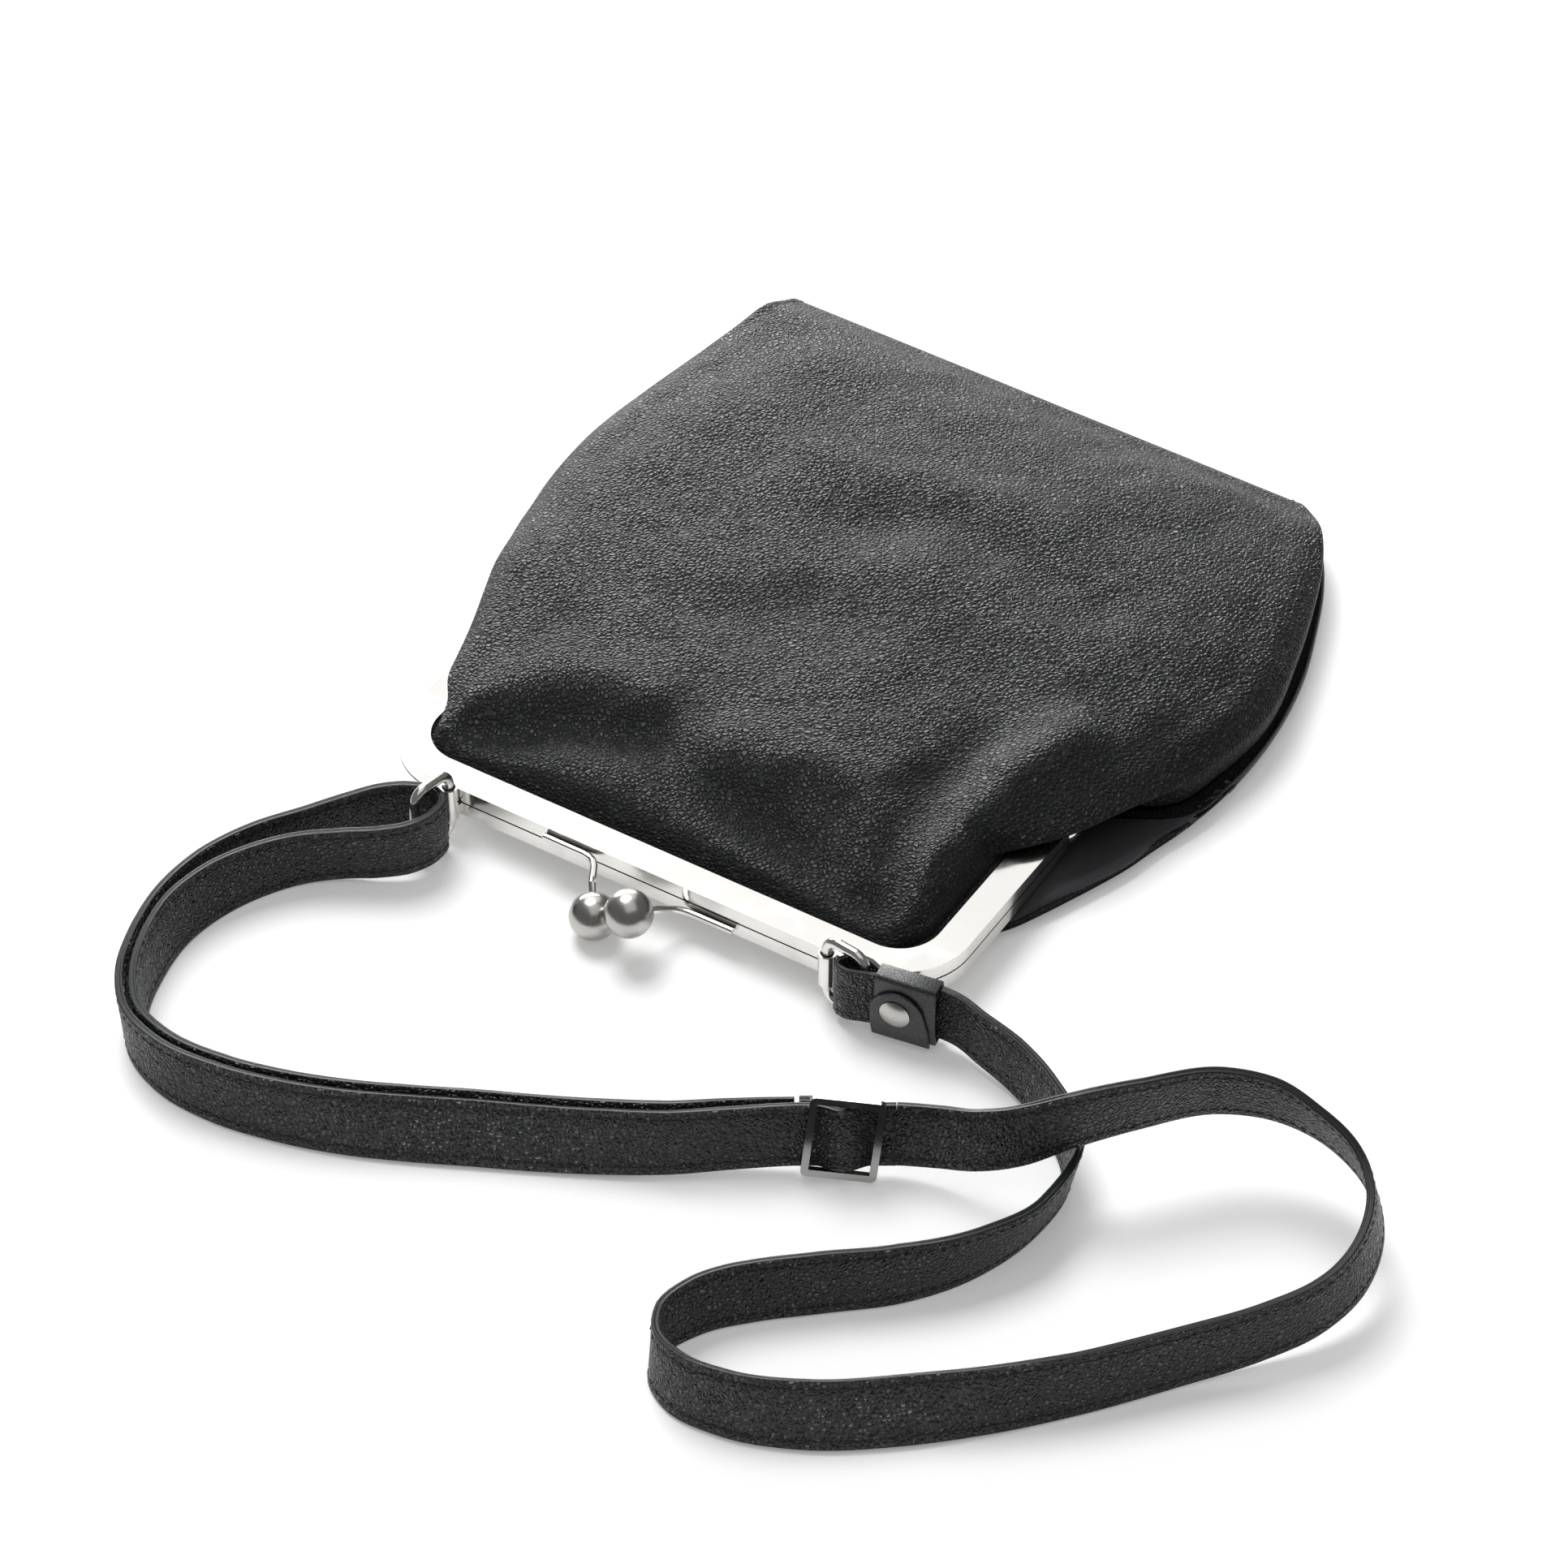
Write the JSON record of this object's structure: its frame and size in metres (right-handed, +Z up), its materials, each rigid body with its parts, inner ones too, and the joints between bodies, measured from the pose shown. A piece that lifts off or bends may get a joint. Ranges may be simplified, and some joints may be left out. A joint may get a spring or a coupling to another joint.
{
  "type": "kiss lock frame purse",
  "caption": "Gathered leather frame purse with a kiss lock clasp, turning side rings and a shoulder strap with slider and snap keeper, lying on its back.",
  "frame": {"origin": "middle of the flat patch on the bag's underside, on which the purse lies, halfway along the bag and on its middle line", "axes": "+X along the frame's bar to the strap's keeper side, +Y from the bar to the bag's bottom seam, +Z up off the table, out of the bag's front"},
  "size_m": [0.3869, 0.4295, 0.043],
  "materials": {
    "nickel": "polished nickel plate",
    "satin_nickel": "satin nickel plate",
    "dark_nickel": "dark polished nickel plate",
    "bag_leather": "soft black leather with fine grain and a satin sheen",
    "strap_leather": "smooth firm black leather with painted edges and stitching",
    "lining": "dark woven lining",
    "paper_cord": "twisted paper cord, hidden in the channel"
  },
  "bodies": {
    "back_half": {"back_frame": "nickel", "left_rivet": "nickel", "right_rivet": "nickel", "back_paper_cord": "paper_cord", "back_panel": "bag_leather", "back_lining": "lining", "front_panel": "bag_leather", "front_lining": "lining", "back_shank": "nickel", "back_ball": "satin_nickel", "left_lug": "nickel", "right_lug": "nickel", "strap_inner_run": "strap_leather", "strap_outer_run": "strap_leather", "strap_main_run": "strap_leather", "strap_near_run": "strap_leather", "strap_return_run": "strap_leather"},
    "front_half": {"front_frame": "nickel", "front_paper_cord": "paper_cord", "front_shank": "nickel", "front_ball": "satin_nickel"},
    "left_link": {"left_ring": "nickel", "strap_left_loop": "strap_leather"},
    "right_link": {"right_ring": "nickel", "strap_right_loop": "strap_leather", "keeper_wrap": "strap_leather", "snap_stud": "nickel", "snap_post": "dark_nickel"},
    "flap": {"keeper_flap": "strap_leather", "snap_cap": "satin_nickel", "snap_socket": "nickel"},
    "slider": {"slider_buckle": "dark_nickel", "strap_end_fold": "strap_leather", "strap_slider_bend": "strap_leather"}
  },
  "joints": [
    {"name": "frame_open", "type": "hinge", "parent": "back_half", "child": "front_half", "pos_m": [0, -0.043, 0.0119], "axis": [-1, 0, 0], "range_deg": [0, 100], "deforming": ["front_panel", "front_lining"]},
    {"name": "left_ring_swivel", "type": "hinge", "parent": "back_half", "child": "left_link", "pos_m": [-0.0675, -0.1331, 0.0137], "axis": [0, 0, 1], "range_deg": [-35, 60], "deforming": ["strap_inner_run", "strap_outer_run"]},
    {"name": "right_ring_swivel", "type": "hinge", "parent": "back_half", "child": "right_link", "pos_m": [0.0675, -0.1331, 0.0137], "axis": [0, 0, 1], "range_deg": [-50, 0], "deforming": ["strap_return_run"]},
    {"name": "flap_fold", "type": "hinge", "parent": "right_link", "child": "flap", "pos_m": [0.08675, -0.13838, 0.0024], "axis": [0.9877, 0.1564, 0], "range_deg": [0, 80]},
    {"name": "slider_slide", "type": "slide", "parent": "back_half", "child": "slider", "axis": [0.848, 0.53, 0], "range_m": [-0.025, 0.025], "deforming": ["strap_inner_run", "strap_outer_run", "strap_main_run"]}
  ]
}
